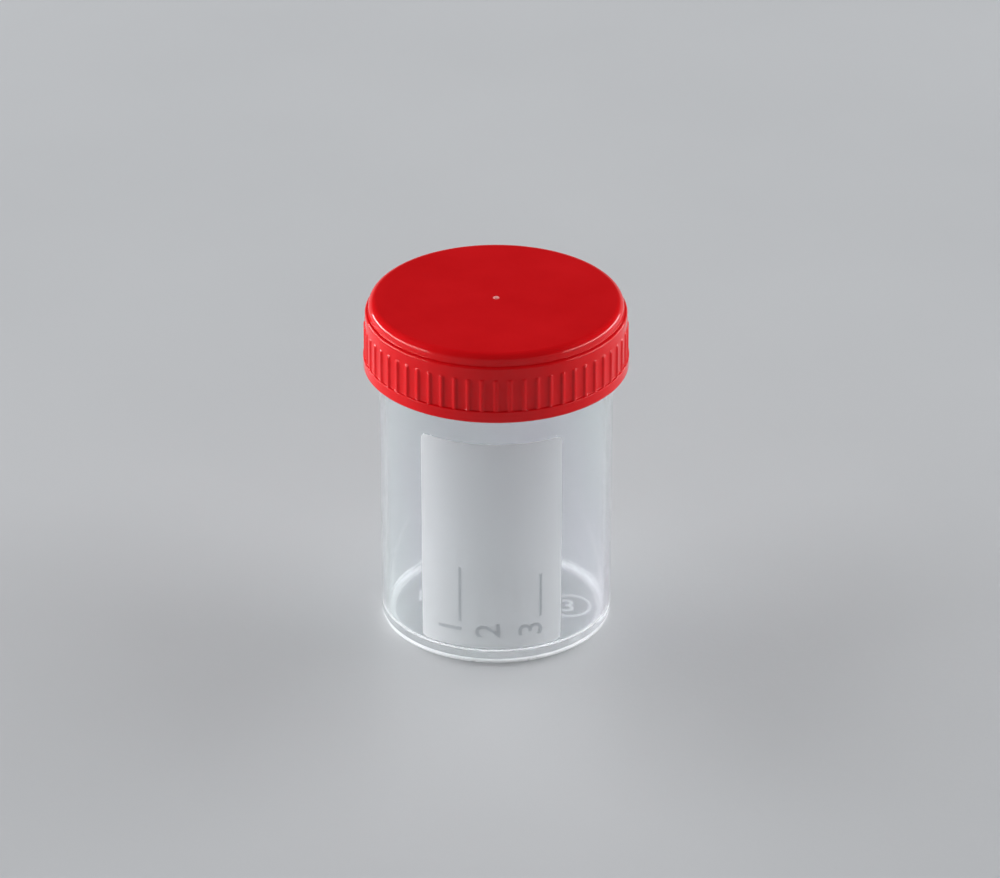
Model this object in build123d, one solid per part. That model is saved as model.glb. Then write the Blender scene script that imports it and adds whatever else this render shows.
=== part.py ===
from build123d import *
import os
from math import radians, tan

# A specimen container: a clear pot and its ribbed screw cap, two plastic mouldings, in millimetres.
# The origin is the centre of the foot, +Z points up through the cap, and -Y is the front.

# Pot: the foot, the wall and the rim
pot_height = 58.8
foot_radius = 19.7
wall_thickness = 1.15
wall_draft = 0.25
floor_thickness = 1.2
foot_recess_depth = 0.7
foot_ring_width = 1.9
foot_chamfer = 0.6
floor_chamfer = 0.8
rim_chamfer = 0.2

# Pot: the neck inside the cap, and its thread
neck_wall = 0.8
neck_gap = 0.6
thread_pitch = 4.0
thread_turns = 1.5
thread_depth = 0.75
thread_root_width = 1.7
thread_crest_width = 0.7
thread_below_rim = 1.9
thread_bite = 0.2

# Pot: the frosted panel to write on, which stands slightly proud of the wall
panel_angle = 73.2
panel_turn = -2.8
panel_bottom = 3.4
panel_top = 42.7
panel_relief = 0.15
panel_corner_radius = 1.2

# Cap: the top, the skirt and the plug that seals the mouth
cap_height = 12.2
cap_top_thickness = 1.3
skirt_wall = 1.6
thread_clearance = 0.2
plug_clearance = 0.08
plug_wall = 0.8
plug_depth = 2.6
plug_chamfer = 0.35

# Cap: the outside, from the plain ring at the bottom up to the rounded shoulder
ring_height = 2.1
rib_height = 5.8
collar_height = 2.2
cap_edge_chamfer = 0.25
ledge_width = 0.58
shoulder_rounding = 1.3
rib_count = 60
rib_depth = 0.35
rib_root_width = 0.85
rib_crest_width = 0.5
rib_bite = 0.3
gate_radius = 0.5
gate_height = 0.15

# Heights that follow from the sizes above
floor_height = foot_recess_depth + floor_thickness
cap_top = pot_height + cap_top_thickness
cap_bottom = cap_top - cap_height
shoulder_height = cap_bottom - neck_gap
rib_bottom = cap_bottom + ring_height
rib_top = rib_bottom + rib_height
ledge_top = rib_top + collar_height
shoulder_foot = cap_top - shoulder_rounding


def outer_radius(height):
    """The outside of the pot's drafted wall."""
    return foot_radius + height * tan(radians(wall_draft))


def bore_radius(height):
    """The inside of the pot's drafted wall."""
    return outer_radius(height) - wall_thickness


# Radii that follow from what fits in what
neck_radius = bore_radius(pot_height) + neck_wall
crest_radius = neck_radius + thread_depth
skirt_bore_radius = crest_radius + thread_clearance
collar_radius = skirt_bore_radius + skirt_wall
cap_radius = collar_radius + rib_depth
shoulder_radius = collar_radius - ledge_width
disc_radius = shoulder_radius - shoulder_rounding
plug_radius = bore_radius(pot_height - plug_depth) - plug_clearance
plug_bore_radius = plug_radius - plug_wall
recess_radius = foot_radius - foot_ring_width


def turned(outline):
    """A solid of revolution about the Z axis from a closed outline in the XZ plane."""
    return revolve(make_face(outline), axis=Axis.Z)


def pot_body():
    """The foot, floor, wall, shoulder and neck in one turned section."""
    neck_foot = shoulder_height + outer_radius(shoulder_height) - neck_radius
    rim_start = pot_height - rim_chamfer
    outline = Polyline(
        (0, 0, foot_recess_depth),
        (recess_radius, 0, foot_recess_depth),
        (recess_radius, 0, 0),
        (foot_radius - foot_chamfer, 0, 0),
        (outer_radius(foot_chamfer), 0, foot_chamfer),
        (outer_radius(shoulder_height), 0, shoulder_height),
        (neck_radius, 0, neck_foot),
        (neck_radius, 0, rim_start),
        (neck_radius - rim_chamfer, 0, pot_height),
        (bore_radius(rim_start) + rim_chamfer, 0, pot_height),
        (bore_radius(rim_start), 0, rim_start),
        (bore_radius(floor_height + floor_chamfer), 0, floor_height + floor_chamfer),
        (bore_radius(floor_height) - floor_chamfer, 0, floor_height),
        (0, 0, floor_height),
        close=True,
    )
    return turned(outline)


def pot_thread():
    """One ridge with sloping flanks that winds up the outside of the neck."""
    rise = thread_pitch * thread_turns
    start_height = pot_height - thread_below_rim - rise
    path = Helix(thread_pitch, rise, neck_radius, center=(0, 0, start_height))
    across = Plane(origin=path @ 0, x_dir=(1, 0, 0), z_dir=path % 0)
    half_root = thread_root_width / 2
    half_crest = thread_crest_width / 2
    section = across * make_face(
        Polyline(
            (-thread_bite, -half_root),
            (thread_depth, -half_crest),
            (thread_depth, half_crest),
            (-thread_bite, half_root),
            close=True,
        )
    )
    return sweep(section, path=path, is_frenet=True)


def writing_panel():
    """A thin curved plate over the front of the wall, with its top corners rounded."""
    inside = wall_thickness / 2
    outline = Polyline(
        (outer_radius(panel_bottom) - inside, 0, panel_bottom),
        (outer_radius(panel_bottom) + panel_relief, 0, panel_bottom),
        (outer_radius(panel_top) + panel_relief, 0, panel_top),
        (outer_radius(panel_top) - inside, 0, panel_top),
        close=True,
    )
    plate = revolve(make_face(outline), axis=Axis.Z, revolution_arc=panel_angle)
    upright = plate.edges().filter_by(lambda edge: edge.length < wall_thickness)
    corners = upright.group_by(Axis.Z)[-1]
    plate = fillet(corners, panel_corner_radius)
    return Rot(0, 0, panel_turn - 90 - panel_angle / 2) * plate


def pot():
    """The whole pot, one moulding."""
    return pot_body() + pot_thread() + writing_panel()


def cap_shell():
    """The cap's top, skirt and plug in one turned section, without its ribs."""
    plug_tip = pot_height - plug_depth
    outside = Polyline(
        (skirt_bore_radius, 0, cap_bottom),
        (cap_radius - cap_edge_chamfer, 0, cap_bottom),
        (cap_radius, 0, cap_bottom + cap_edge_chamfer),
        (cap_radius, 0, rib_bottom),
        (collar_radius, 0, rib_bottom),
        (collar_radius, 0, ledge_top - cap_edge_chamfer),
        (collar_radius - cap_edge_chamfer, 0, ledge_top),
        (shoulder_radius, 0, ledge_top),
        (shoulder_radius, 0, shoulder_foot),
    )
    shoulder = TangentArc(
        (disc_radius, 0, cap_top), (shoulder_radius, 0, shoulder_foot), tangent=(1, 0, 0)
    )
    inside = Polyline(
        (disc_radius, 0, cap_top),
        (gate_radius, 0, cap_top),
        (gate_radius - gate_height, 0, cap_top + gate_height),
        (0, 0, cap_top + gate_height),
        (0, 0, pot_height),
        (plug_bore_radius, 0, pot_height),
        (plug_bore_radius, 0, plug_tip),
        (plug_radius - plug_chamfer, 0, plug_tip),
        (plug_radius, 0, plug_tip + plug_chamfer),
        (plug_radius, 0, pot_height),
        (skirt_bore_radius, 0, pot_height),
        (skirt_bore_radius, 0, cap_bottom),
    )
    return turned(outside + shoulder + inside)


def cap_ribs():
    """Narrow grip ribs with sloping flanks, which slope back to the collar at their upper ends."""
    inner = collar_radius - rib_bite
    outer = cap_radius + rib_bite
    flank_slope = (rib_root_width - rib_crest_width) / 2 / rib_depth
    half_inner = rib_root_width / 2 + flank_slope * rib_bite
    half_outer = rib_crest_width / 2 - flank_slope * rib_bite
    bar = make_face(
        Polyline(
            (inner, -half_inner),
            (outer, -half_outer),
            (outer, half_outer),
            (inner, half_inner),
            close=True,
        )
    )
    bars = Sketch() + PolarLocations(0, rib_count) * bar
    ribs = Pos(0, 0, rib_bottom) * extrude(bars, rib_height)
    sleeve = Polyline(
        (inner, 0, rib_bottom),
        (cap_radius, 0, rib_bottom),
        (cap_radius, 0, rib_top - rib_depth),
        (collar_radius, 0, rib_top),
        (inner, 0, rib_top),
        close=True,
    )
    return ribs & turned(sleeve)


def screw_cap():
    """The whole cap, one moulding."""
    return cap_shell() + cap_ribs()


os.makedirs("parts", exist_ok=True)
export_step(pot(), "parts/container.step")
export_step(screw_cap(), "parts/screw_cap.step")
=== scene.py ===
import math

import bmesh
import bpy
import numpy as np
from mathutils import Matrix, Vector


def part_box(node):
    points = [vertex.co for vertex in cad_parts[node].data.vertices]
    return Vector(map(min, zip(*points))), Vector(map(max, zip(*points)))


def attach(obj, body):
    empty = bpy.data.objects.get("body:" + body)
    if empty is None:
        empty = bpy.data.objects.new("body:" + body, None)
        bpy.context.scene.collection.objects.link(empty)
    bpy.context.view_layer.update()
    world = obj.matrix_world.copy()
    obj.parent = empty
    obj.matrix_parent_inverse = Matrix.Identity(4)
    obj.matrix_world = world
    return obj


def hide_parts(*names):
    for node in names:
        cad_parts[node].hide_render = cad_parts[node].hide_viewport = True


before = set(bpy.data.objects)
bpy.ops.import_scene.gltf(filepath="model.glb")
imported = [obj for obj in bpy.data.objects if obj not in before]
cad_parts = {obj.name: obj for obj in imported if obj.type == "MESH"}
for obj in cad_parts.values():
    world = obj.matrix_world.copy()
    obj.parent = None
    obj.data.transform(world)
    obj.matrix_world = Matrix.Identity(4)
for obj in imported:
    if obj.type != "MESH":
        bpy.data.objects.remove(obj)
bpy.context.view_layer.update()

# ---------------------------------------------------------------------------------------------
# The frame. A specimen container of two plastic mouldings: a clear pot, which stands on the
# origin, and the red cap that is screwed down on it. Their boxes give the heights used below.
mm = 0.001
pot_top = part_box("container")[1].z
cap_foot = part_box("screw_cap")[0].z
cap_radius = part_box("screw_cap")[1].x

# ---------------------------------------------------------------------------------------------
# The studio. A pale, satin table that runs back into a grey wall. A large softbox stands high on
# each side and lights the container without a mirror image. A long low strip below each one draws
# the bright lines along the cap's rounded edges. The camera stands well back with a long lens.
camera_distance = 1.0
camera_elevation = math.radians(27.65)
camera_lens = 211.2
camera_target = Vector((0.65 * mm, 0, 33.26 * mm))
lamp_white = (0.965, 0.98, 1.0)
towards_camera = Vector((0, -math.cos(camera_elevation), math.sin(camera_elevation)))

camera = bpy.data.objects.new("camera", bpy.data.cameras.new("camera"))
camera.data.sensor_width = 36
camera.data.lens = camera_lens
camera.data.clip_start = 0.01
camera.data.clip_end = 20
camera.location = camera_target + towards_camera * camera_distance
camera.rotation_euler = (-towards_camera).to_track_quat("-Z", "Y").to_euler()
bpy.context.scene.collection.objects.link(camera)
bpy.context.scene.camera = camera


def softbox(name, place, size, power, mirrored):
    """A rectangular lamp that faces the container. Glossy surfaces show its mirror image, or not."""
    lamp = bpy.data.lights.new(name, "AREA")
    lamp.shape = "RECTANGLE"
    lamp.size, lamp.size_y = size
    lamp.energy = power
    lamp.color = lamp_white
    holder = bpy.data.objects.new(name, lamp)
    holder.location = place
    holder.rotation_euler = (camera_target - Vector(place)).to_track_quat("-Z", "Y").to_euler()
    holder.visible_glossy = mirrored
    bpy.context.scene.collection.objects.link(holder)


softbox("left_strip", place=(-1.54, 0.22, 0.11), size=(2.4, 0.2), power=31, mirrored=True)
softbox("left_softbox", place=(-1.87, 0.74, 1.32), size=(2.9, 2.0), power=51, mirrored=False)
softbox("right_strip", place=(1.54, 0.22, 0.11), size=(2.4, 0.2), power=18, mirrored=True)
softbox("right_softbox", place=(1.87, 0.68, 1.32), size=(2.9, 2.0), power=48, mirrored=False)
bpy.context.scene.view_settings.view_transform = "Standard"


def add_node(material, kind, **settings):
    """A node of this kind in the material's tree, with its settings made."""
    node = material.node_tree.nodes.new(kind)
    for name, value in settings.items():
        setattr(node, name, value)
    return node


def pattern(material, scale, detail, stretch=(1, 1, 1)):
    """Noise in the object's own space. Stretch squeezes it along an axis, to make streaks."""
    place = add_node(material, "ShaderNodeTexCoord")
    turn = add_node(material, "ShaderNodeMapping")
    turn.inputs["Scale"].default_value = stretch
    noise = add_node(material, "ShaderNodeTexNoise")
    noise.inputs["Scale"].default_value = scale
    noise.inputs["Detail"].default_value = detail
    material.node_tree.links.new(place.outputs["Object"], turn.inputs["Vector"])
    material.node_tree.links.new(turn.outputs["Vector"], noise.inputs["Vector"])
    return noise.outputs["Fac"]


def spread(material, value, low, high):
    """The pattern's middle half stretched from low to high."""
    ramp = add_node(material, "ShaderNodeMapRange")
    ramp.inputs["From Min"].default_value = 0.25
    ramp.inputs["From Max"].default_value = 0.75
    ramp.inputs["To Min"].default_value = low
    ramp.inputs["To Max"].default_value = high
    material.node_tree.links.new(value, ramp.inputs["Value"])
    return ramp.outputs["Result"]


def blend_colours(material, share, first, second):
    """Two colours mixed by a share. Either may be a plain colour or a node's output."""
    mix = add_node(material, "ShaderNodeMix", data_type="RGBA")
    first_socket, second_socket, mixed = mix.inputs[6], mix.inputs[7], mix.outputs[2]
    material.node_tree.links.new(share, mix.inputs["Factor"])
    for socket, colour in ((first_socket, first), (second_socket, second)):
        if isinstance(colour, tuple):
            socket.default_value = (*colour, 1)
        else:
            material.node_tree.links.new(colour, socket)
    return mixed


def mottled(material, noise, first, second):
    """Two close shades, shared out by a pattern."""
    return blend_colours(material, spread(material, noise, low=0, high=1), first, second)


def raise_grain(material, value, height, strength):
    """Bump from a pattern, joined to the material's surface."""
    bump = add_node(material, "ShaderNodeBump")
    bump.inputs["Distance"].default_value = height
    bump.inputs["Strength"].default_value = strength
    material.node_tree.links.new(value, bump.inputs["Height"])
    surface = material.node_tree.nodes["Principled BSDF"]
    material.node_tree.links.new(bump.outputs["Normal"], surface.inputs["Normal"])


def new_material(name, **plain):
    """A material whose surface takes these plain values, with spaces written as underscores."""
    material = bpy.data.materials.new(name)
    material.use_nodes = True
    surface = material.node_tree.nodes["Principled BSDF"]
    for socket, value in plain.items():
        surface.inputs[socket.replace("_", " ")].default_value = value
    return material


def paint(material, socket, value):
    """Joins a pattern to one input of the material's surface."""
    surface = material.node_tree.nodes["Principled BSDF"]
    material.node_tree.links.new(value, surface.inputs[socket])


# The sky is pale along the horizon, as a studio wall is, and dark above it.
horizon_grey = (0.45, 0.457, 0.465)
overhead_grey = (0.045, 0.047, 0.05)
wall_top_rise = 0.12
dark_rise = 0.34
sky = bpy.data.worlds.new("sky")
sky.use_nodes = True
bpy.context.scene.world = sky
sky_place = add_node(sky, "ShaderNodeTexCoord")
sky_axes = add_node(sky, "ShaderNodeSeparateXYZ")
sky_rise = add_node(sky, "ShaderNodeMapRange")
sky_rise.inputs["From Min"].default_value = wall_top_rise
sky_rise.inputs["From Max"].default_value = dark_rise
sky.node_tree.links.new(sky_place.outputs["Generated"], sky_axes.inputs["Vector"])
sky.node_tree.links.new(sky_axes.outputs["Z"], sky_rise.inputs["Value"])
sky_tone = blend_colours(sky, sky_rise.outputs["Result"], horizon_grey, overhead_grey)
sky.node_tree.links.new(sky_tone, sky.node_tree.nodes["Background"].inputs["Color"])

table_paint = new_material("table_paint", Roughness=0.4, Specular_IOR_Level=0.12)
table_clouds = pattern(table_paint, scale=9, detail=3)
table_grey = mottled(table_paint, table_clouds, (0.55, 0.557, 0.565), (0.59, 0.597, 0.605))
paint(table_paint, "Base Color", table_grey)
table_grain = pattern(table_paint, scale=900, detail=2)
raise_grain(table_paint, table_grain, height=0.05 * mm, strength=0.3)

# Far from the container the table takes the grey of the horizon, so that no edge shows.
fade_start = 0.35
fade_end = 0.85
table_place = add_node(table_paint, "ShaderNodeTexCoord")
table_distance = add_node(table_paint, "ShaderNodeVectorMath", operation="LENGTH")
table_fade = add_node(table_paint, "ShaderNodeMapRange")
table_fade.inputs["From Min"].default_value = fade_start
table_fade.inputs["From Max"].default_value = fade_end
table_ray = add_node(table_paint, "ShaderNodeLightPath")
mirror_ray = add_node(table_paint, "ShaderNodeMath", operation="MAXIMUM")
seen_ray = add_node(table_paint, "ShaderNodeMath", operation="MAXIMUM")
seen_fade = add_node(table_paint, "ShaderNodeMath", operation="MULTIPLY")
far_table = add_node(table_paint, "ShaderNodeEmission")
far_table.inputs["Color"].default_value = (*horizon_grey, 1)
near_or_far = add_node(table_paint, "ShaderNodeMixShader")
near_table = table_paint.node_tree.nodes["Principled BSDF"]
table_surface = table_paint.node_tree.nodes["Material Output"].inputs["Surface"]
table_links = table_paint.node_tree.links
table_links.new(table_place.outputs["Object"], table_distance.inputs[0])
table_links.new(table_distance.outputs["Value"], table_fade.inputs["Value"])
table_links.new(table_ray.outputs["Is Camera Ray"], mirror_ray.inputs[0])
table_links.new(table_ray.outputs["Is Glossy Ray"], mirror_ray.inputs[1])
table_links.new(mirror_ray.outputs["Value"], seen_ray.inputs[0])
table_links.new(table_ray.outputs["Is Transmission Ray"], seen_ray.inputs[1])
table_links.new(seen_ray.outputs["Value"], seen_fade.inputs[0])
table_links.new(table_fade.outputs["Result"], seen_fade.inputs[1])
table_links.new(seen_fade.outputs["Value"], near_or_far.inputs["Fac"])
table_links.new(near_table.outputs["BSDF"], near_or_far.inputs[1])
table_links.new(far_table.outputs["Emission"], near_or_far.inputs[2])
table_links.new(near_or_far.outputs["Shader"], table_surface)

table_radius = 4
table_mesh = bmesh.new()
bmesh.ops.create_circle(table_mesh, cap_ends=True, segments=96, radius=table_radius)
table_data = bpy.data.meshes.new("table")
table_mesh.to_mesh(table_data)
table_mesh.free()
table_data.materials.append(table_paint)
table = bpy.data.objects.new("table", table_data)
bpy.context.scene.collection.objects.link(table)

# ---------------------------------------------------------------------------------------------
# The pot. One injection moulding in clear polypropylene: a foot ring round a recessed base, a
# slightly drafted wall, a small shoulder and a neck with one and a half turns of thread. The
# mould is etched at the front, which leaves a frosted panel to write on, a little proud.
foot_radius = 19.7 * mm
wall_thickness = 1.15 * mm
wall_draft = math.radians(0.25)
foot_recess = 0.7 * mm
floor_height = foot_recess + 1.2 * mm
recess_radius = foot_radius - 1.9 * mm
foot_rounding = 1.5 * mm
floor_rounding = 1.2 * mm
edge_rounding = 0.22 * mm
# Painted highlights: the sizes of the white bands on the recess edge and on the foot.
highlight_ring_width = 0.3 * mm
highlight_foot_height = 0.9 * mm

neck_wall = 0.8 * mm
shoulder_height = cap_foot - 0.6 * mm
thread_pitch = 4.0 * mm
thread_turns = 1.5
thread_depth = 0.75 * mm
thread_half_root = 0.85 * mm
thread_half_crest = 0.35 * mm
thread_start = pot_top - 1.9 * mm - thread_pitch * thread_turns
thread_runout = 8 / 360

front = math.radians(-90)
panel_middle = front - math.radians(2.8)
panel_half_angle = math.radians(36.6)
panel_left = panel_middle - panel_half_angle
panel_right = panel_middle + panel_half_angle
panel_bottom = 3.4 * mm
panel_top = 42.7 * mm
panel_relief = 0.15 * mm
panel_corner = 1.2 * mm
panel_edge = 0.2 * mm

# Points closer together than the first are one point, and within the second of the axis are on it.
weld_distance = 1e-7
axis_distance = 1e-9


def outer_radius(height):
    """The outside of the drafted wall."""
    return foot_radius + height * math.tan(wall_draft)


def bore_radius(height):
    """The inside of the drafted wall."""
    return outer_radius(height) - wall_thickness


def rounded_section(corners, arc_steps=6, arc_step=0.16 * mm, guard=0.12 * mm):
    """The points of a section, in order, from corners given as (radius, height, rounding, step).
    A rounding becomes an arc, and the straight after a corner is cut into steps. A long straight
    also gets a guard point near each end, which keeps the arcs' shading off it."""
    arcs = []
    for i, (radius, height, rounding, _) in enumerate(corners):
        here = np.array([radius, height])
        if rounding == 0:
            arcs.append([here])
            continue
        before = np.array(corners[i - 1][:2]) - here
        after = np.array(corners[i + 1][:2]) - here
        before = before / np.linalg.norm(before)
        after = after / np.linalg.norm(after)
        half = math.acos(np.clip(before @ after, -1, 1)) / 2
        inward = (before + after) / np.linalg.norm(before + after)
        centre = here + inward * rounding / math.sin(half)
        start = here + before * rounding / math.tan(half) - centre
        end = here + after * rounding / math.tan(half) - centre
        sweep = math.pi - 2 * half
        steps = max(arc_steps, round(rounding / arc_step))
        arc = []
        for share in np.linspace(0, 1, steps + 1):
            out = math.sin((1 - share) * sweep) * start + math.sin(share * sweep) * end
            arc.append(centre + out / math.sin(sweep))
        arcs.append(arc)
    points = list(arcs[0])
    for i in range(1, len(corners)):
        start, end, step = points[-1], arcs[i][0], corners[i - 1][3]
        length = np.linalg.norm(end - start)
        places = list(np.linspace(0, length, max(1, round(length / step)) + 1)[1:-1])
        if length > 5 * guard and step > 2 * guard:
            places = sorted(places + [guard, length - guard])
        points += [start + (end - start) * d / length for d in places]
        points += arcs[i] if length > weld_distance else arcs[i][1:]
    return np.array(points)


def turned_mesh(name, rings, angles, closed):
    """A mesh from rings of (x, y, z) points. A ring on the axis becomes a single pole."""
    vertices, faces, index = [], [], []
    count = len(angles)
    for ring in rings:
        if np.abs(ring[:, :2]).max() < axis_distance:
            index.append([len(vertices)] * count)
            vertices.append(tuple(ring[0]))
        else:
            index.append(list(range(len(vertices), len(vertices) + count)))
            vertices += [tuple(p) for p in ring]
    for lower, upper in zip(index, index[1:]):
        for j in range(count if closed else count - 1):
            k = (j + 1) % count
            corners = [lower[j], lower[k], upper[k], upper[j]]
            faces.append(list(dict.fromkeys(corners)))
    mesh = bpy.data.meshes.new(name)
    mesh.from_pydata(vertices, [], faces)
    mesh.shade_smooth()
    return mesh


def ring_points(reach, angles, height):
    """The points of one ring about the axis, from its radii, angles and heights."""
    level = np.broadcast_to(height, angles.shape)
    return np.stack([reach * np.cos(angles), reach * np.sin(angles), level], 1)


def ease(x):
    """A smooth step from 0 to 1."""
    x = np.clip(x, 0, 1)
    return x * x * (3 - 2 * x)


def thread_height(angle, height):
    """How far the thread stands out from the neck at this angle and height."""
    stand = np.zeros_like(angle)
    turn = np.mod(angle, math.tau) / math.tau
    for whole in range(math.ceil(thread_turns) + 1):
        along = turn + whole
        off = np.abs(height - thread_start - thread_pitch * along)
        flank = ease((thread_half_root - off) / (thread_half_root - thread_half_crest))
        ends = ease(along / thread_runout) * ease((thread_turns - along) / thread_runout)
        stand = np.maximum(stand, flank * ends * (along <= thread_turns))
    return stand * thread_depth


def panel_inset(angle, height):
    """How far inside the panel's outline a point of the wall lies."""
    half_width = panel_half_angle * foot_radius
    half_height = (panel_top - panel_bottom) / 2
    across = np.abs((angle - panel_middle) * foot_radius) - half_width + panel_corner
    along = np.abs(height - (panel_top + panel_bottom) / 2) - half_height + panel_corner
    outside = np.hypot(np.maximum(across, 0), np.maximum(along, 0))
    return panel_corner - outside - np.minimum(np.maximum(across, along), 0)


neck_radius = bore_radius(pot_top) + neck_wall
neck_foot = shoulder_height + outer_radius(shoulder_height) - neck_radius
fine = 0.1 * mm
pot_section = rounded_section(
    [
        (0, foot_recess, 0, 4 * mm),
        (recess_radius - highlight_ring_width, foot_recess, 0, 0.3 * mm),
        (recess_radius, foot_recess, edge_rounding, 0.3 * mm),
        (recess_radius, 0, edge_rounding, 0.6 * mm),
        (foot_radius, 0, foot_rounding, 0.3 * mm),
        (outer_radius(panel_bottom - fine), panel_bottom - fine, 0, fine),
        (outer_radius(panel_bottom + 3 * fine), panel_bottom + 3 * fine, 0, 1.3 * mm),
        (outer_radius(panel_top - panel_corner), panel_top - panel_corner, 0, fine),
        (outer_radius(panel_top + fine), panel_top + fine, 0, 1 * mm),
        (outer_radius(shoulder_height), shoulder_height, edge_rounding, 0.3 * mm),
        (neck_radius, neck_foot, edge_rounding, 0.125 * mm),
        (neck_radius, pot_top, edge_rounding, 0.3 * mm),
        (bore_radius(pot_top), pot_top, edge_rounding, 2 * mm),
        (bore_radius(floor_height), floor_height, floor_rounding, 4 * mm),
        (0, floor_height, 0, 1),
    ]
)

wide_step = math.radians(1.5)
fine_step = fine / foot_radius
corner_width = panel_corner / foot_radius
pot_arcs = (
    (panel_left - fine_step, panel_left + corner_width, fine_step),
    (panel_left + corner_width, panel_right - corner_width, wide_step),
    (panel_right - corner_width, panel_right + fine_step, fine_step),
    (panel_right + fine_step, panel_left - fine_step + math.tau, wide_step),
)
pot_angles = np.concatenate(
    [
        np.linspace(start, end, round((end - start) / step), endpoint=False)
        for start, end, step in pot_arcs
    ]
)

pot_rings = []
hair = 0.02 * mm
for radius, height in pot_section:
    reach = np.full_like(pot_angles, radius)
    on_wall = abs(radius - outer_radius(height)) < hair and height > foot_rounding
    on_neck = abs(radius - neck_radius) < hair and neck_foot < height < pot_top - edge_rounding
    if on_wall:
        reach += panel_relief * ease(panel_inset(pot_angles, height) / panel_edge)
    if on_neck:
        reach += thread_height(pot_angles, height)
    pot_rings.append(ring_points(reach, pot_angles, height))

pot_mesh = turned_mesh("pot", pot_rings, pot_angles, closed=True)


def let_lamps_through(material, share):
    """Lets this share of the lamps' light straight through each face, as clear plastic does."""
    tree = material.node_tree
    surface = tree.nodes["Material Output"].inputs["Surface"]
    ray = add_node(material, "ShaderNodeLightPath")
    open_side = add_node(material, "ShaderNodeBsdfTransparent")
    open_side.inputs["Color"].default_value = (share, share, share, 1)
    either = add_node(material, "ShaderNodeMixShader")
    tree.links.new(ray.outputs["Is Shadow Ray"], either.inputs["Fac"])
    tree.links.new(tree.nodes["Principled BSDF"].outputs["BSDF"], either.inputs[1])
    tree.links.new(open_side.outputs["BSDF"], either.inputs[2])
    tree.links.new(either.outputs["Shader"], surface)


# The wall is clear, with faint upright streaks where the plastic flowed in the mould.
polypropylene_ior = 1.49
clear_plastic = new_material(
    "clear_polypropylene", IOR=polypropylene_ior, Transmission_Weight=0.92, Specular_IOR_Level=0.5
)
flow = pattern(clear_plastic, scale=160, detail=3, stretch=(1, 1, 0.12))
clouds = pattern(clear_plastic, scale=70, detail=2, stretch=(1, 1, 0.35))
clear_tint = mottled(clear_plastic, clouds, (0.80, 0.845, 0.84), (0.825, 0.82, 0.855))
paint(clear_plastic, "Base Color", clear_tint)
paint(clear_plastic, "Roughness", spread(clear_plastic, flow, low=0.03, high=0.12))
raise_grain(clear_plastic, flow, height=0.03 * mm, strength=0.2)
let_lamps_through(clear_plastic, share=0.82)

# The panel is etched. Its colour is painted darker at its top, as painted shade under the cap, and
# lighter towards the foot, as painted light.
frosted_plastic = new_material(
    "etched_polypropylene", IOR=polypropylene_ior, Transmission_Weight=0.4, Specular_IOR_Level=0.4
)
etching = pattern(frosted_plastic, scale=5200, detail=2)
haze = pattern(frosted_plastic, scale=60, detail=2, stretch=(1, 1, 0.3))
# Painted shade and light: a darker colour for the top of the panel, in the cap's shade, and a whiter
# one for its foot.
shaded_top_haze = mottled(frosted_plastic, haze, (0.67, 0.69, 0.71), (0.70, 0.71, 0.72))
lit_foot_haze = mottled(frosted_plastic, haze, (0.81, 0.83, 0.84), (0.84, 0.85, 0.86))
panel_place = add_node(frosted_plastic, "ShaderNodeTexCoord")
panel_axes = add_node(frosted_plastic, "ShaderNodeSeparateXYZ")
painted_shade_drop = add_node(frosted_plastic, "ShaderNodeMapRange")
painted_shade_drop.inputs["From Min"].default_value = panel_top
painted_shade_drop.inputs["From Max"].default_value = panel_bottom
frosted_plastic.node_tree.links.new(panel_place.outputs["Object"], panel_axes.inputs["Vector"])
frosted_plastic.node_tree.links.new(panel_axes.outputs["Z"], painted_shade_drop.inputs["Value"])
# The painted shade fades into the painted light by height, from the panel's top down to its foot.
panel_painted_shading = blend_colours(frosted_plastic, painted_shade_drop.outputs["Result"], shaded_top_haze, lit_foot_haze)
paint(frosted_plastic, "Base Color", panel_painted_shading)
paint(frosted_plastic, "Roughness", spread(frosted_plastic, etching, low=0.42, high=0.62))
raise_grain(frosted_plastic, etching, height=0.02 * mm, strength=0.5)
let_lamps_through(frosted_plastic, share=0.6)

# The base is milky under the recess. The foot and the edge of the recess are painted white, as painted
# highlights along them.
milky_plastic = new_material(
    "thick_polypropylene", IOR=polypropylene_ior, Transmission_Weight=0.6, Specular_IOR_Level=0.5
)
milk = pattern(milky_plastic, scale=240, detail=2)
base_milk = mottled(milky_plastic, milk, (0.68, 0.71, 0.71), (0.72, 0.72, 0.73))
paint(milky_plastic, "Base Color", base_milk)
paint(milky_plastic, "Roughness", spread(milky_plastic, milk, low=0.12, high=0.25))
let_lamps_through(milky_plastic, share=0.5)

# Painted highlight: a near-opaque white that stands in for the bright lines along the foot and the
# recess edge.
highlight_white_plastic = new_material(
    "painted_highlight_polypropylene", IOR=polypropylene_ior, Transmission_Weight=0.1, Specular_IOR_Level=0.5
)
highlight_mottle = pattern(highlight_white_plastic, scale=400, detail=2)
painted_highlight_white = mottled(highlight_white_plastic, highlight_mottle, (0.94, 0.95, 0.95), (0.99, 0.99, 0.99))
paint(highlight_white_plastic, "Base Color", painted_highlight_white)
paint(highlight_white_plastic, "Roughness", spread(highlight_white_plastic, highlight_mottle, low=0.25, high=0.4))
let_lamps_through(highlight_white_plastic, share=0.4)

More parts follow.
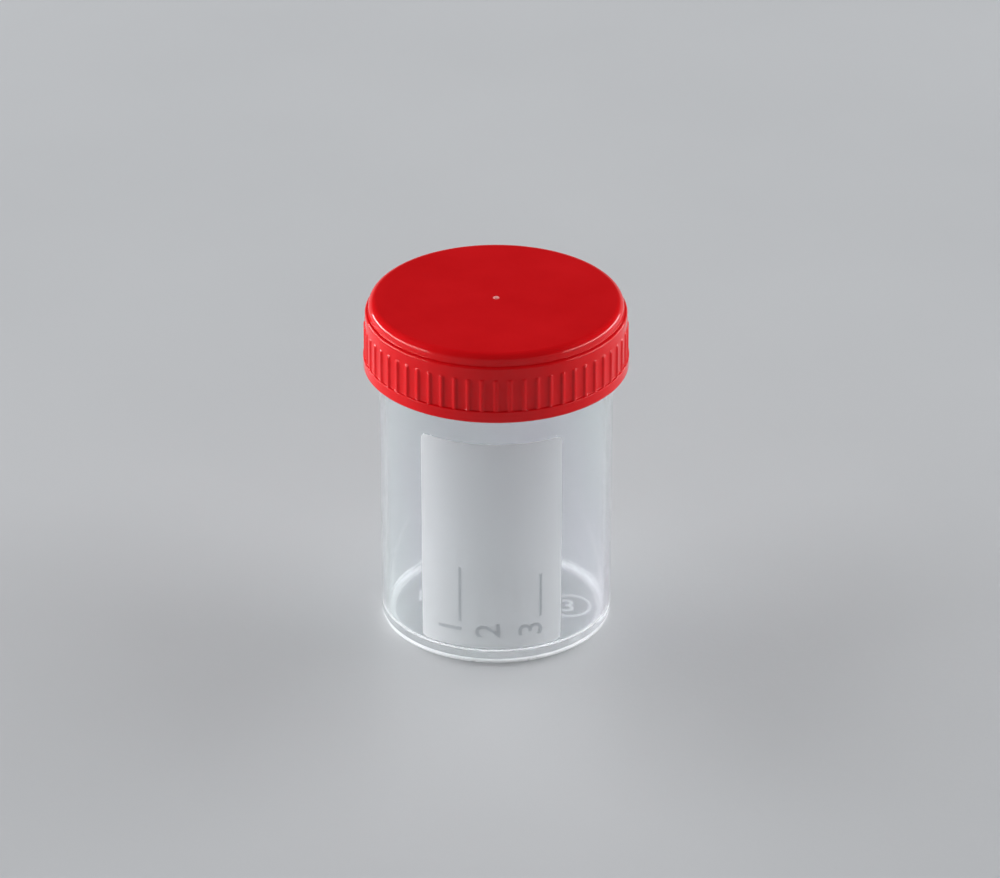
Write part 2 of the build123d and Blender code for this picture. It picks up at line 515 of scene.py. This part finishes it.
# Each face takes its plastic from its place.
plastics = [clear_plastic, frosted_plastic, milky_plastic, highlight_white_plastic]
skin = 0.3 * mm
recess_top = foot_recess + 0.01 * mm
for plastic in plastics:
    pot_mesh.materials.append(plastic)
for face in pot_mesh.polygons:
    x, y, z = face.center
    reach = math.hypot(x, y)
    turn = np.array([math.atan2(y, x)])
    plastic = clear_plastic
    if reach > outer_radius(z) - skin and panel_inset(turn, z)[0] > panel_edge / 2:
        plastic = frosted_plastic
    # The foot and the recess edge take the painted highlight white.
    elif z < highlight_foot_height and reach > recess_radius + edge_rounding:
        plastic = highlight_white_plastic
    elif z < recess_top and reach > recess_radius - highlight_ring_width:
        plastic = highlight_white_plastic
    elif z < recess_top:
        plastic = milky_plastic
    face.material_index = plastics.index(plastic)

pot = bpy.data.objects.new("pot", pot_mesh)
bpy.context.scene.collection.objects.link(pot)
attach(pot, "container")
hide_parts("container")

# ---------------------------------------------------------------------------------------------
# The marks. Plain numerals and writing rules stand in polished relief on the frosted panel, and
# run up it. The mould's insert leaves a small ring and two numerals under the base, in matt relief.
numeral_height = 4.2 * mm
mark_relief = 0.08 * mm
mark_sunk = 0.04 * mm
bending_step = 0.4 * mm
rule_width = 0.45 * mm
rule_gap = 1.2 * mm
shortest_rule = 2 * mm

# Each line up the panel has its numeral, its place round the pot, its foot and its top.
panel_marks = (
    ("1", front - math.radians(17.4), 5.4 * mm, 18.7 * mm),
    ("2", front + math.radians(1.8), 5.4 * mm, 9.6 * mm),
    ("3", front + math.radians(22.9), 5.4 * mm, 17.2 * mm),
)


def flat_numeral(text, height, thickness):
    """A numeral as a thin plate in the XY plane, with its foot on the X axis."""
    # A figure of Blender's own font fills this share of the letters' full size.
    figure_share = 0.7
    curve = bpy.data.curves.new("numeral", "FONT")
    curve.body = text
    curve.size = height / figure_share
    curve.extrude = thickness / 2
    curve.resolution_u = 6
    writer = bpy.data.objects.new("numeral", curve)
    bpy.context.scene.collection.objects.link(writer)
    bpy.context.view_layer.update()
    view = bpy.context.evaluated_depsgraph_get()
    mesh = bpy.data.meshes.new_from_object(writer.evaluated_get(view))
    bpy.data.objects.remove(writer)
    plate = bmesh.new()
    plate.from_mesh(mesh)
    bpy.data.meshes.remove(mesh)
    bmesh.ops.remove_doubles(plate, verts=plate.verts, dist=weld_distance)
    return plate


def flat_rule(start, end, width, thickness):
    """A thin straight bar that lies along X."""
    bar = bmesh.new()
    bmesh.ops.create_cube(bar, size=1)
    for vertex in bar.verts:
        vertex.co.x = start + (vertex.co.x + 0.5) * (end - start)
        vertex.co.y = (vertex.co.y + 0.5) * width
        vertex.co.z *= thickness
    return bar


def cut_in_strips(plate, direction, step):
    """Cuts a plate across one direction, so that it can be bent."""
    reach = [vertex.co.dot(direction) for vertex in plate.verts]
    place = math.floor(min(reach) / step) * step + step
    while place < max(reach):
        everything = list(plate.verts) + list(plate.edges) + list(plate.faces)
        bmesh.ops.bisect_plane(plate, geom=everything, plane_co=direction * place, plane_no=direction)
        place += step


def add_plates(name, plates, material):
    """One piece of the pot from several placed plates."""
    together = bmesh.new()
    for plate in plates:
        part = bpy.data.meshes.new("part")
        bmesh.ops.recalc_face_normals(plate, faces=plate.faces)
        if plate.calc_volume(signed=True) < 0:
            bmesh.ops.reverse_faces(plate, faces=plate.faces)
        plate.to_mesh(part)
        plate.free()
        together.from_mesh(part)
        bpy.data.meshes.remove(part)
    mesh = bpy.data.meshes.new(name)
    together.to_mesh(mesh)
    together.free()
    mesh.materials.append(material)
    piece = bpy.data.objects.new(name, mesh)
    bpy.context.scene.collection.objects.link(piece)
    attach(piece, "container")


plates = []
for text, baseline, foot, top in panel_marks:
    numeral = flat_numeral(text, numeral_height, mark_relief + mark_sunk)
    right_edge = max(vertex.co.x for vertex in numeral.verts)
    parts = [numeral]
    rule_start = right_edge + rule_gap
    if top - foot > rule_start + shortest_rule:
        parts.append(flat_rule(rule_start, top - foot, rule_width, mark_relief + mark_sunk))
    for part in parts:
        cut_in_strips(part, Vector((0, 1, 0)), bending_step)
        for vertex in part.verts:
            along, up, out = vertex.co
            height = foot + along
            reach = outer_radius(height) + panel_relief + out + (mark_relief - mark_sunk) / 2
            angle = baseline - up / foot_radius
            vertex.co = (reach * math.cos(angle), reach * math.sin(angle), height)
        plates.append(part)

polished_mark = new_material("polished_mark", IOR=polypropylene_ior, Transmission_Weight=0.35)
mark_clouds = pattern(polished_mark, scale=700, detail=2)
mark_gloss = pattern(polished_mark, scale=900, detail=2)
mark_grey = mottled(polished_mark, mark_clouds, (0.69, 0.72, 0.74), (0.72, 0.75, 0.77))
paint(polished_mark, "Base Color", mark_grey)
paint(polished_mark, "Roughness", spread(polished_mark, mark_gloss, low=0.28, high=0.34))
add_plates("panel_marks", plates, polished_mark)

base_mark_relief = 0.25 * mm
base_mark_sunk = 0.35 * mm
insert_ring_radius = 3.4 * mm
insert_ring_width = 0.4 * mm
insert_ring_rounding = 0.1 * mm
insert_ring_steps = 72
insert_ring_place = Vector((12.6 * mm, -1.0 * mm, 0))
base_numerals = (
    ("3", (10.9 * mm, -2.9 * mm), 4.0 * mm),
    ("1", (-14.4 * mm, 1.0 * mm), 3.6 * mm),
)

plates = []
for text, (x, y), height in base_numerals:
    numeral = flat_numeral(text, height, base_mark_relief + base_mark_sunk)
    for vertex in numeral.verts:
        vertex.co += Vector((x, y, foot_recess - (base_mark_relief - base_mark_sunk) / 2))
    plates.append(numeral)

insert_ring_outside = insert_ring_radius + insert_ring_width
ring_face = foot_recess - base_mark_relief
ring_section = rounded_section(
    [
        (insert_ring_radius, foot_recess + base_mark_sunk, 0, 1),
        (insert_ring_radius, ring_face, insert_ring_rounding, 1),
        (insert_ring_outside, ring_face, insert_ring_rounding, 1),
        (insert_ring_outside, foot_recess + base_mark_sunk, 0, 1),
        (insert_ring_radius, foot_recess + base_mark_sunk, 0, 1),
    ],
    arc_steps=3,
)
ring_angles = np.linspace(0, math.tau, insert_ring_steps, endpoint=False)
insert_rings = [ring_points(radius, ring_angles, height) for radius, height in ring_section]
ring_mesh = turned_mesh("insert_ring", insert_rings, ring_angles, closed=True)
insert_ring = bmesh.new()
insert_ring.from_mesh(ring_mesh)
bpy.data.meshes.remove(ring_mesh)
bmesh.ops.remove_doubles(insert_ring, verts=insert_ring.verts, dist=weld_distance)
for vertex in insert_ring.verts:
    vertex.co += insert_ring_place
plates.append(insert_ring)

matt_mark = new_material("matt_mark", IOR=polypropylene_ior)
matt_clouds = pattern(matt_mark, scale=900, detail=2)
matt_gloss = pattern(matt_mark, scale=3000, detail=2)
matt_white = mottled(matt_mark, matt_clouds, (0.93, 0.95, 0.95), (0.98, 0.98, 0.98))
paint(matt_mark, "Base Color", matt_white)
paint(matt_mark, "Roughness", spread(matt_mark, matt_gloss, low=0.4, high=0.6))
add_plates("base_marks", plates, matt_mark)

# ---------------------------------------------------------------------------------------------
# The cap. One red polyethylene moulding: a flat disc with a rounded shoulder, a plain collar,
# sixty narrow grip ribs over a plain ring, and inside it a plug that seals the pot's mouth. It
# is the same all round, so one rib's share of the ring is modelled and repeated.
rib_count = 60
cap_top = pot_top + 1.3 * mm
rib_bottom = cap_foot + 2.1 * mm
rib_top = rib_bottom + 5.8 * mm
ledge_top = rib_top + 2.2 * mm
collar_radius = cap_radius - 0.35 * mm
rib_crest_radius = cap_radius - 0.12 * mm
rib_half_crest = 0.08 * mm
rib_half_root = 0.58 * mm
rib_end = 0.7 * mm
rib_foot_slope = 0.4
rib_columns = 6
shoulder_radius = collar_radius - 0.58 * mm
shoulder_rounding = 1.3 * mm
skirt_bore = collar_radius - 1.6 * mm
skirt_middle = skirt_bore + 0.5 * mm
plug_tip = pot_top - 2.6 * mm
plug_radius = bore_radius(plug_tip) - 0.08 * mm
plug_lead_in = 0.35 * mm
plug_wall = 0.8 * mm
gate_radius = 0.5 * mm
gate_height = 0.15 * mm

cap_section = rounded_section(
    [
        (0, pot_top, 0, 6 * mm),
        (plug_radius - plug_wall, pot_top, 0.15 * mm, 1.2 * mm),
        (plug_radius - plug_wall, plug_tip, 0.12 * mm, 0.4 * mm),
        (plug_radius - plug_lead_in, plug_tip, 0.1 * mm, 0.4 * mm),
        (plug_radius, plug_tip + plug_lead_in, 0.1 * mm, 1.2 * mm),
        (plug_radius, pot_top, 0.15 * mm, 0.8 * mm),
        (skirt_bore, pot_top, 0.25 * mm, 3 * mm),
        (skirt_bore, cap_foot, 0.15 * mm, 0.8 * mm),
        (cap_radius, cap_foot, 0.3 * mm, 0.8 * mm),
        (cap_radius, rib_bottom, 0.15 * mm, 0.3 * mm),
        (collar_radius, rib_bottom, 0.15 * mm, 1.3 * mm),
        (collar_radius, rib_top - rib_end, 0, 0.1 * mm),
        (collar_radius, rib_top, 0, 0.8 * mm),
        (collar_radius, ledge_top, 0.4 * mm, 0.3 * mm),
        (shoulder_radius, ledge_top, 0.12 * mm, 0.3 * mm),
        (shoulder_radius, cap_top, shoulder_rounding, 6 * mm),
        (gate_radius, cap_top, 0.08 * mm, 0.1 * mm),
        (gate_radius - gate_height, cap_top + gate_height, 0.06 * mm, 0.2 * mm),
        (0, cap_top + gate_height, 0, 1),
    ],
    arc_steps=4,
)

sector_half = math.pi / rib_count
column_places = np.linspace(0, rib_half_root, rib_columns)
column_angles = [place / cap_radius for place in column_places] + [sector_half]
sector_angles = np.array([-angle for angle in column_angles[:0:-1]] + column_angles)
down_flank = np.abs(sector_angles) * cap_radius - rib_half_crest
rib_share = 1 - ease(down_flank / (rib_half_root - rib_half_crest))

sector_rings = []
join_distance = 0.001 * mm
for radius, height in cap_section:
    in_ribs = radius > skirt_middle and rib_bottom - join_distance < height < rib_top
    share = rib_share if in_ribs else np.zeros_like(rib_share)
    above_foot = np.clip((rib_top - height) / (rib_top - rib_bottom), 0, 1)
    crest_height = height + rib_foot_slope * (cap_radius - radius) * above_foot
    rounding = np.clip((crest_height - rib_top + rib_end) / rib_end, 0, 1)
    crest_radius = collar_radius + (rib_crest_radius - collar_radius) * math.sqrt(1 - rounding**2)
    reach = radius + share * (crest_radius - radius)
    level = height + share * (crest_height - height)
    sector_rings.append(ring_points(reach, sector_angles, level))

sector_mesh = turned_mesh("cap_sector", sector_rings, sector_angles, closed=False)

red_plastic = new_material(
    "red_polyethylene",
    IOR=1.49,
    Specular_IOR_Level=0.27,
    Subsurface_Weight=0.1,
    Subsurface_Scale=0.6 * mm,
)
red_clouds = pattern(red_plastic, scale=120, detail=3)
red_gloss = pattern(red_plastic, scale=600, detail=3)
red_grain = pattern(red_plastic, scale=3500, detail=2)
body_red = mottled(red_plastic, red_clouds, (0.64, 0.0035, 0.006), (0.70, 0.006, 0.009))
paint(red_plastic, "Roughness", spread(red_plastic, red_gloss, low=0.07, high=0.11))
raise_grain(red_plastic, red_grain, height=0.01 * mm, strength=0.15)

# The gate, where the plastic entered the mould, has whitened with stress.
gate_pink = (0.85, 0.38, 0.36)
gate_blur = 0.3
gate_place = add_node(red_plastic, "ShaderNodeTexCoord")
gate_flat = add_node(red_plastic, "ShaderNodeVectorMath", operation="MULTIPLY")
gate_flat.inputs[1].default_value = (1, 1, 0)
gate_distance = add_node(red_plastic, "ShaderNodeVectorMath", operation="LENGTH")
gate_fade = add_node(red_plastic, "ShaderNodeMapRange")
gate_fade.inputs["From Min"].default_value = gate_radius * (1 + gate_blur)
gate_fade.inputs["From Max"].default_value = gate_radius * (1 - gate_blur)
red_plastic.node_tree.links.new(gate_place.outputs["Object"], gate_flat.inputs[0])
red_plastic.node_tree.links.new(gate_flat.outputs["Vector"], gate_distance.inputs[0])
red_plastic.node_tree.links.new(gate_distance.outputs["Value"], gate_fade.inputs["Value"])
cap_red = blend_colours(red_plastic, gate_fade.outputs["Result"], body_red, gate_pink)
paint(red_plastic, "Base Color", cap_red)


def new_tree(name, inputs):
    """A geometry tree with these named inputs, each (name, kind), and its two end nodes."""
    tree = bpy.data.node_groups.new(name, "GeometryNodeTree")
    tree.interface.new_socket("Geometry", in_out="INPUT", socket_type="NodeSocketGeometry")
    for label, kind in inputs:
        tree.interface.new_socket(label, in_out="INPUT", socket_type=kind)
    tree.interface.new_socket("Geometry", in_out="OUTPUT", socket_type="NodeSocketGeometry")
    return tree, tree.nodes.new("NodeGroupInput"), tree.nodes.new("NodeGroupOutput")


def grown_piece(name, start, tree, values):
    """Runs a geometry tree on a mesh, with its inputs set, and keeps the result as a plain mesh."""
    seed = bpy.data.objects.new(name + "_seed", start)
    bpy.context.scene.collection.objects.link(seed)
    modifier = seed.modifiers.new("grow", "NODES")
    modifier.node_group = tree
    for item in tree.interface.items_tree:
        if item.item_type == "SOCKET" and item.in_out == "INPUT" and item.name in values:
            modifier[item.identifier] = values[item.name]
    bpy.context.view_layer.update()
    view = bpy.context.evaluated_depsgraph_get()
    mesh = bpy.data.meshes.new_from_object(seed.evaluated_get(view))
    seed.modifiers.remove(modifier)
    bpy.data.objects.remove(seed)
    mesh.name = name
    piece = bpy.data.objects.new(name, mesh)
    bpy.context.scene.collection.objects.link(piece)
    return piece


# The tree turns copies of the sector about the axis, and welds them where they meet.
repeat_inputs = (
    ("Count", "NodeSocketInt"),
    ("Join Distance", "NodeSocketFloat"),
    ("Plastic", "NodeSocketMaterial"),
)
repeat_tree, given, made = new_tree("repeat_round_axis", repeat_inputs)
join = repeat_tree.links.new
places = repeat_tree.nodes.new("GeometryNodePoints")
number = repeat_tree.nodes.new("GeometryNodeInputIndex")
pitch = repeat_tree.nodes.new("ShaderNodeMath")
pitch.operation = "DIVIDE"
pitch.inputs[0].default_value = math.tau
angle = repeat_tree.nodes.new("ShaderNodeMath")
angle.operation = "MULTIPLY"
turn = repeat_tree.nodes.new("ShaderNodeCombineXYZ")
copies = repeat_tree.nodes.new("GeometryNodeInstanceOnPoints")
solid = repeat_tree.nodes.new("GeometryNodeRealizeInstances")
welded = repeat_tree.nodes.new("GeometryNodeMergeByDistance")
smooth = repeat_tree.nodes.new("GeometryNodeSetShadeSmooth")
coloured = repeat_tree.nodes.new("GeometryNodeSetMaterial")
join(given.outputs["Count"], places.inputs["Count"])
join(given.outputs["Count"], pitch.inputs[1])
join(number.outputs["Index"], angle.inputs[0])
join(pitch.outputs["Value"], angle.inputs[1])
join(angle.outputs["Value"], turn.inputs["Z"])
join(places.outputs["Points"], copies.inputs["Points"])
join(given.outputs["Geometry"], copies.inputs["Instance"])
join(turn.outputs["Vector"], copies.inputs["Rotation"])
join(copies.outputs["Instances"], solid.inputs["Geometry"])
join(solid.outputs["Geometry"], welded.inputs["Geometry"])
join(given.outputs["Join Distance"], welded.inputs["Distance"])
join(welded.outputs["Geometry"], smooth.inputs["Geometry"])
join(smooth.outputs["Geometry"], coloured.inputs["Geometry"])
join(given.outputs["Plastic"], coloured.inputs["Material"])
join(coloured.outputs["Geometry"], made.inputs["Geometry"])

repeat_values = {"Count": rib_count, "Join Distance": join_distance, "Plastic": red_plastic}
cap = grown_piece("cap", sector_mesh, repeat_tree, repeat_values)
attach(cap, "screw_cap")
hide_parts("screw_cap")

# ---------------------------------------------------------------------------------------------
# The cap's own thread. A ridge of the same red polyethylene, moulded in one with the skirt. It winds
# as the pot's thread does and lies half a pitch off it, so that each one's flanks ride on the other's.
cap_thread_turns = 1.25
cap_thread_start = thread_start + thread_pitch / 2 - thread_pitch
cap_thread_crest = neck_radius + 0.25 * mm
cap_thread_half_root = 0.8 * mm
cap_thread_half_crest = 0.3 * mm
cap_thread_bite = 0.3 * mm
cap_thread_runout = 0.06
cap_thread_thinnest = 0.05
cap_thread_lead = 0.25
thread_steps = 150

ridge = [
    (skirt_bore + cap_thread_bite, -cap_thread_half_root),
    (skirt_bore, -cap_thread_half_root),
    (cap_thread_crest, -cap_thread_half_crest),
    (cap_thread_crest, cap_thread_half_crest),
    (skirt_bore, cap_thread_half_root),
    (skirt_bore + cap_thread_bite, cap_thread_half_root),
]
thread_points, thread_faces = [], []
for step in range(thread_steps + 1):
    along = step / thread_steps * cap_thread_turns
    taper = float(ease(min(along, cap_thread_turns - along) / cap_thread_runout))
    for radius, offset in ridge:
        reach = max(radius, skirt_bore + (radius - skirt_bore) * taper)
        angle = along * math.tau
        middle = cap_thread_start + thread_pitch * (along + cap_thread_lead)
        height = middle + offset * max(taper, cap_thread_thinnest)
        thread_points.append((reach * math.cos(angle), reach * math.sin(angle), height))
sides = len(ridge)
for step in range(thread_steps):
    for side in range(sides):
        a = step * sides + side
        b = step * sides + (side + 1) % sides
        thread_faces.append((a, b, b + sides, a + sides))
thread_faces += [tuple(range(sides)), tuple(range(thread_steps * sides, (thread_steps + 1) * sides))]
cap_thread_mesh = bpy.data.meshes.new("cap_thread")
cap_thread_mesh.from_pydata(thread_points, [], thread_faces)
cap_thread_mesh.materials.append(red_plastic)
cap_thread = bpy.data.objects.new("cap_thread", cap_thread_mesh)
bpy.context.scene.collection.objects.link(cap_thread)
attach(cap_thread, "screw_cap")
